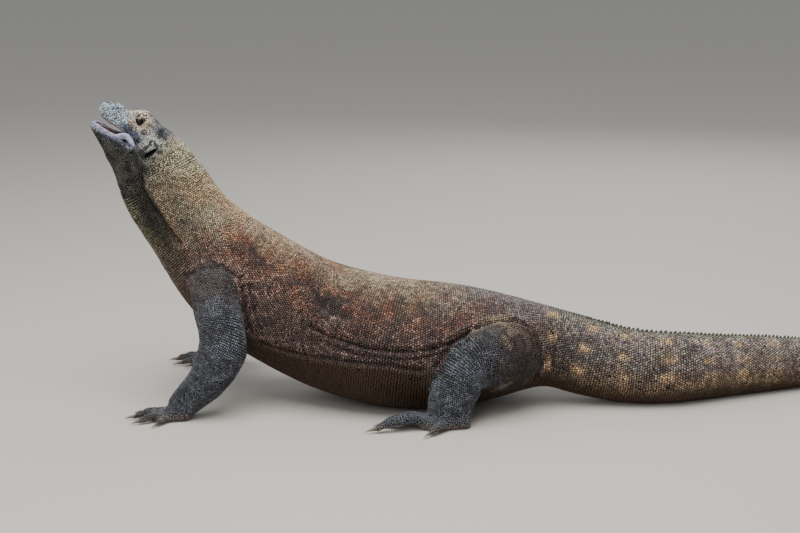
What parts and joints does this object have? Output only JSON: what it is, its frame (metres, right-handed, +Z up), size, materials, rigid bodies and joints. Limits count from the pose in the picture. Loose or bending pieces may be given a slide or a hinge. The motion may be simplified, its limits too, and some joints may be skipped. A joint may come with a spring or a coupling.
{
  "type": "komodo dragon",
  "caption": "Life-size still model of a heavy monitor lizard on straight forelegs, neck raised, mouth part open, belly and long tapering tail on the floor.",
  "frame": {"origin": "centre of the bounding box's bottom face, on the floor that the animal rests on", "axes": "+X tailwards along the animal's length (the head is at -X), +Y to its right side, +Z up"},
  "size_m": [2.399, 0.7246, 0.7194],
  "materials": {
    "hide_head": "small pale grey-blue scales with dark speckles, satin",
    "hide_neck": "beaded olive-tan scales with dark dots, matt",
    "hide_body": "beaded grey-brown scales, rusty on the upper flank, matt",
    "hide_limb": "rows of dark slate scales with pale specks, matt",
    "hide_tail": "rings of brown-grey scales with tan bands, matt",
    "mouth": "wet pink to maroon lining",
    "eye": "wet, very dark brown",
    "claw": "dusty dark horn"
  },
  "bodies": {
    "root": {"head": "hide_head", "lower_jaw": "hide_head", "palate": "mouth", "mouth_floor": "mouth", "eye_left": "eye", "eye_right": "eye", "neck_upper": "hide_neck", "neck_lower": "hide_neck", "chest": "hide_body", "trunk_front": "hide_body", "trunk_rear": "hide_body", "pelvis": "hide_body", "tail_1": "hide_tail", "tail_2": "hide_tail", "tail_3": "hide_tail", "tail_4": "hide_tail", "tail_5": "hide_tail", "tail_6": "hide_tail", "upper_arm_left": "hide_limb", "upper_arm_right": "hide_limb", "forearm_left": "hide_limb", "forearm_right": "hide_limb", "hand_left": "hide_limb", "hand_right": "hide_limb", "thigh_left": "hide_limb", "thigh_right": "hide_limb", "shank_left": "hide_limb", "shank_right": "hide_limb", "foot_left": "hide_limb", "foot_right": "hide_limb", "claw_hand_left_1": "claw", "claw_hand_left_2": "claw", "claw_hand_left_3": "claw", "claw_hand_left_4": "claw", "claw_hand_left_5": "claw", "claw_hand_right_1": "claw", "claw_hand_right_2": "claw", "claw_hand_right_3": "claw", "claw_hand_right_4": "claw", "claw_hand_right_5": "claw", "claw_foot_left_1": "claw", "claw_foot_left_2": "claw", "claw_foot_left_3": "claw", "claw_foot_left_4": "claw", "claw_foot_left_5": "claw", "claw_foot_right_1": "claw", "claw_foot_right_2": "claw", "claw_foot_right_3": "claw", "claw_foot_right_4": "claw", "claw_foot_right_5": "claw"}
  },
  "joints": []
}
